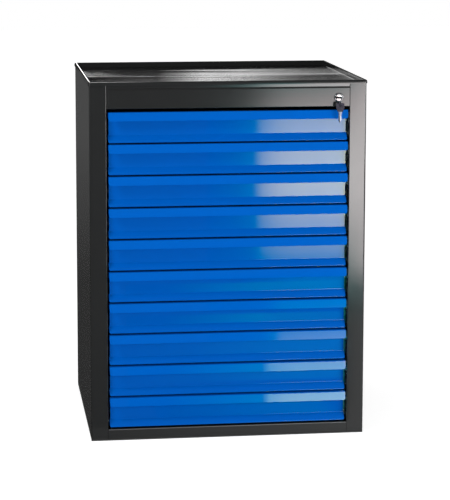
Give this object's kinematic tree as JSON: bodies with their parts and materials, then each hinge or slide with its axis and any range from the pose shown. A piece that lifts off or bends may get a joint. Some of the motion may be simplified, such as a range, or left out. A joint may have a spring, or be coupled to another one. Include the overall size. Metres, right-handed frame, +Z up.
{
  "type": "drawer cabinet",
  "caption": "Workshop drawer cabinet with shallow drawers on telescopic runners, a matted tray top and a key lock that bars every drawer.",
  "frame": {"origin": "on the floor, in the middle of the carcass's footprint", "axes": "+X to the right as seen from the front, +Y towards the back, +Z up; the drawers open towards -Y"},
  "size_m": [0.654, 0.5817, 0.848],
  "materials": {
    "carcass_paint": "satin powder coat, anthracite",
    "drawer_paint": "gloss powder coat, blue",
    "box_paint": "satin powder coat, anthracite",
    "runner_zinc": "zinc plated",
    "mat_rubber": "fine ribs",
    "lock_chrome": "polished",
    "key_steel": "nickel plated",
    "key_plastic": "moulded head"
  },
  "bodies": {
    "carcass": {"base_pan": "carcass_paint", "left_side": "carcass_paint", "right_side": "carcass_paint", "back_panel": "carcass_paint", "top_rail": "carcass_paint", "lock_panel": "carcass_paint", "top_tray": "carcass_paint", "ribbed_mat": "mat_rubber", "cabinet_runners_left": "runner_zinc", "cabinet_runners_right": "runner_zinc", "bar_guides": "runner_zinc", "lock_housing": "lock_chrome", "lock_nut": "lock_chrome"},
    "key": {"lock_plug": "lock_chrome", "lock_cam": "lock_chrome", "lock_key": "key_steel"},
    "bar": {"lock_bar": "runner_zinc", "lock_fingers": "runner_zinc"},
    "ring": {"key_ring": "key_steel"},
    "spare": {"spare_key": "key_plastic"},
    "drawer_01": {"drawer_01_front": "drawer_paint", "drawer_01_box": "box_paint", "drawer_01_runners": "runner_zinc"},
    "drawer_01_middle": {"drawer_01_middle_runners": "runner_zinc"},
    "drawer_02": {"drawer_02_front": "drawer_paint", "drawer_02_box": "box_paint", "drawer_02_runners": "runner_zinc"},
    "drawer_02_middle": {"drawer_02_middle_runners": "runner_zinc"},
    "drawer_03": {"drawer_03_front": "drawer_paint", "drawer_03_box": "box_paint", "drawer_03_runners": "runner_zinc"},
    "drawer_03_middle": {"drawer_03_middle_runners": "runner_zinc"},
    "drawer_04": {"drawer_04_front": "drawer_paint", "drawer_04_box": "box_paint", "drawer_04_runners": "runner_zinc"},
    "drawer_04_middle": {"drawer_04_middle_runners": "runner_zinc"},
    "drawer_05": {"drawer_05_front": "drawer_paint", "drawer_05_box": "box_paint", "drawer_05_runners": "runner_zinc"},
    "drawer_05_middle": {"drawer_05_middle_runners": "runner_zinc"},
    "drawer_06": {"drawer_06_front": "drawer_paint", "drawer_06_box": "box_paint", "drawer_06_runners": "runner_zinc"},
    "drawer_06_middle": {"drawer_06_middle_runners": "runner_zinc"},
    "drawer_07": {"drawer_07_front": "drawer_paint", "drawer_07_box": "box_paint", "drawer_07_runners": "runner_zinc"},
    "drawer_07_middle": {"drawer_07_middle_runners": "runner_zinc"},
    "drawer_08": {"drawer_08_front": "drawer_paint", "drawer_08_box": "box_paint", "drawer_08_runners": "runner_zinc"},
    "drawer_08_middle": {"drawer_08_middle_runners": "runner_zinc"},
    "drawer_09": {"drawer_09_front": "drawer_paint", "drawer_09_box": "box_paint", "drawer_09_runners": "runner_zinc"},
    "drawer_09_middle": {"drawer_09_middle_runners": "runner_zinc"},
    "drawer_10": {"drawer_10_front": "drawer_paint", "drawer_10_box": "box_paint", "drawer_10_runners": "runner_zinc"},
    "drawer_10_middle": {"drawer_10_middle_runners": "runner_zinc"}
  },
  "joints": [
    {"name": "bar_slide", "type": "slide", "parent": "carcass", "child": "bar", "axis": [0, 0, 1], "range_m": [0, 0.012]},
    {"name": "key_turn", "type": "hinge", "parent": "carcass", "child": "key", "pos_m": [0.259, -0.278, 0.8065], "axis": [0, 1, 0], "range_deg": [0, 90]},
    {"name": "ring_swing", "type": "hinge", "parent": "key", "child": "ring", "pos_m": [0.259, -0.295, 0.8065], "axis": [-1, 0, 0], "range_deg": [-4, 90]},
    {"name": "spare_swing", "type": "hinge", "parent": "ring", "child": "spare", "pos_m": [0.259, -0.295, 0.79065], "axis": [0, 1, 0], "range_deg": [-90, 0]},
    {"name": "drawer_01_slide", "type": "slide", "parent": "carcass", "child": "drawer_01", "axis": [0, -1, 0], "range_m": [0, 0.44]},
    {"name": "drawer_01_middle_slide", "type": "slide", "parent": "carcass", "child": "drawer_01_middle", "axis": [0, -1, 0], "range_m": [0, 0.22]},
    {"name": "drawer_02_slide", "type": "slide", "parent": "carcass", "child": "drawer_02", "axis": [0, -1, 0], "range_m": [0, 0.44]},
    {"name": "drawer_02_middle_slide", "type": "slide", "parent": "carcass", "child": "drawer_02_middle", "axis": [0, -1, 0], "range_m": [0, 0.22]},
    {"name": "drawer_03_slide", "type": "slide", "parent": "carcass", "child": "drawer_03", "axis": [0, -1, 0], "range_m": [0, 0.44]},
    {"name": "drawer_03_middle_slide", "type": "slide", "parent": "carcass", "child": "drawer_03_middle", "axis": [0, -1, 0], "range_m": [0, 0.22]},
    {"name": "drawer_04_slide", "type": "slide", "parent": "carcass", "child": "drawer_04", "axis": [0, -1, 0], "range_m": [0, 0.44]},
    {"name": "drawer_04_middle_slide", "type": "slide", "parent": "carcass", "child": "drawer_04_middle", "axis": [0, -1, 0], "range_m": [0, 0.22]},
    {"name": "drawer_05_slide", "type": "slide", "parent": "carcass", "child": "drawer_05", "axis": [0, -1, 0], "range_m": [0, 0.44]},
    {"name": "drawer_05_middle_slide", "type": "slide", "parent": "carcass", "child": "drawer_05_middle", "axis": [0, -1, 0], "range_m": [0, 0.22]},
    {"name": "drawer_06_slide", "type": "slide", "parent": "carcass", "child": "drawer_06", "axis": [0, -1, 0], "range_m": [0, 0.44]},
    {"name": "drawer_06_middle_slide", "type": "slide", "parent": "carcass", "child": "drawer_06_middle", "axis": [0, -1, 0], "range_m": [0, 0.22]},
    {"name": "drawer_07_slide", "type": "slide", "parent": "carcass", "child": "drawer_07", "axis": [0, -1, 0], "range_m": [0, 0.44]},
    {"name": "drawer_07_middle_slide", "type": "slide", "parent": "carcass", "child": "drawer_07_middle", "axis": [0, -1, 0], "range_m": [0, 0.22]},
    {"name": "drawer_08_slide", "type": "slide", "parent": "carcass", "child": "drawer_08", "axis": [0, -1, 0], "range_m": [0, 0.44]},
    {"name": "drawer_08_middle_slide", "type": "slide", "parent": "carcass", "child": "drawer_08_middle", "axis": [0, -1, 0], "range_m": [0, 0.22]},
    {"name": "drawer_09_slide", "type": "slide", "parent": "carcass", "child": "drawer_09", "axis": [0, -1, 0], "range_m": [0, 0.44]},
    {"name": "drawer_09_middle_slide", "type": "slide", "parent": "carcass", "child": "drawer_09_middle", "axis": [0, -1, 0], "range_m": [0, 0.22]},
    {"name": "drawer_10_slide", "type": "slide", "parent": "carcass", "child": "drawer_10", "axis": [0, -1, 0], "range_m": [0, 0.44]},
    {"name": "drawer_10_middle_slide", "type": "slide", "parent": "carcass", "child": "drawer_10_middle", "axis": [0, -1, 0], "range_m": [0, 0.22]}
  ],
  "couplings": [
    {"joint": "key_turn", "follows": "bar_slide", "rad_per_m": 130.89},
    {"joint": "spare_swing", "follows": "bar_slide", "rad_per_m": -130.89},
    {"joint": "drawer_01_middle_slide", "follows": "drawer_01_slide", "ratio": 0.5},
    {"joint": "drawer_02_middle_slide", "follows": "drawer_02_slide", "ratio": 0.5},
    {"joint": "drawer_03_middle_slide", "follows": "drawer_03_slide", "ratio": 0.5},
    {"joint": "drawer_04_middle_slide", "follows": "drawer_04_slide", "ratio": 0.5},
    {"joint": "drawer_05_middle_slide", "follows": "drawer_05_slide", "ratio": 0.5},
    {"joint": "drawer_06_middle_slide", "follows": "drawer_06_slide", "ratio": 0.5},
    {"joint": "drawer_07_middle_slide", "follows": "drawer_07_slide", "ratio": 0.5},
    {"joint": "drawer_08_middle_slide", "follows": "drawer_08_slide", "ratio": 0.5},
    {"joint": "drawer_09_middle_slide", "follows": "drawer_09_slide", "ratio": 0.5},
    {"joint": "drawer_10_middle_slide", "follows": "drawer_10_slide", "ratio": 0.5}
  ]
}
